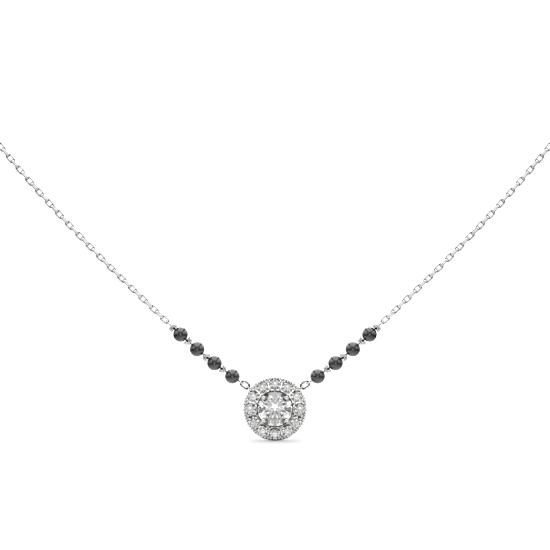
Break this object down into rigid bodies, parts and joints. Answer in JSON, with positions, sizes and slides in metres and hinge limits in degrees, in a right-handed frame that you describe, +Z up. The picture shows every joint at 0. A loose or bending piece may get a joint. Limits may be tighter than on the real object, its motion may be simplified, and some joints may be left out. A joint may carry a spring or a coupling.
{
  "type": "mangalsutra necklace",
  "caption": "Short mangalsutra in white metal: a round stone in a stone-set halo hangs from strands of black beads and a fine cable chain that closes at the nape.",
  "frame": {"origin": "centre of the ring clasp at the nape, where the necklace rests on the back of the neck", "axes": "+X to the right seen from the front, +Y from the pendant back to the nape, +Z up as it hangs when worn"},
  "size_m": [0.1058, 0.1028, 0.1039],
  "materials": {
    "white_metal": "white gold, bright polish with a rhodium colour",
    "chain_metal": "white gold wire, polished, fine links",
    "clear_stone": "colourless, cut and polished facets",
    "black_bead": "polished black, glossy"
  },
  "bodies": {
    "root": {"black_bead_left_1": "black_bead", "black_bead_left_2": "black_bead", "black_bead_left_3": "black_bead", "black_bead_left_4": "black_bead", "black_bead_right_1": "black_bead", "black_bead_right_2": "black_bead", "black_bead_right_3": "black_bead", "black_bead_right_4": "black_bead", "spacer_left_1": "white_metal", "spacer_left_2": "white_metal", "spacer_left_3": "white_metal", "spacer_left_4": "white_metal", "spacer_right_1": "white_metal", "spacer_right_2": "white_metal", "spacer_right_3": "white_metal", "spacer_right_4": "white_metal", "strand_wire_left": "white_metal", "strand_wire_right": "white_metal", "jump_ring_left": "white_metal", "jump_ring_right": "white_metal", "chain_left": "chain_metal", "chain_right": "chain_metal", "chain_back_left": "chain_metal", "chain_back_right": "chain_metal", "end_ring_left": "white_metal", "end_ring_right": "white_metal", "clasp": "white_metal"},
    "pendant": {"halo_setting": "white_metal", "centre_stone": "clear_stone", "halo_stone_01": "clear_stone", "halo_stone_02": "clear_stone", "halo_stone_03": "clear_stone", "halo_stone_04": "clear_stone", "halo_stone_05": "clear_stone", "halo_stone_06": "clear_stone", "halo_stone_07": "clear_stone", "halo_stone_08": "clear_stone", "halo_stone_09": "clear_stone", "halo_stone_10": "clear_stone", "halo_stone_11": "clear_stone", "halo_stone_12": "clear_stone"}
  },
  "joints": [
    {"name": "pendant_swing", "type": "hinge", "parent": "root", "child": "pendant", "pos_m": [0, -0.1, -0.09306], "axis": [1, 0, 0], "range_deg": [-25, 25]}
  ]
}
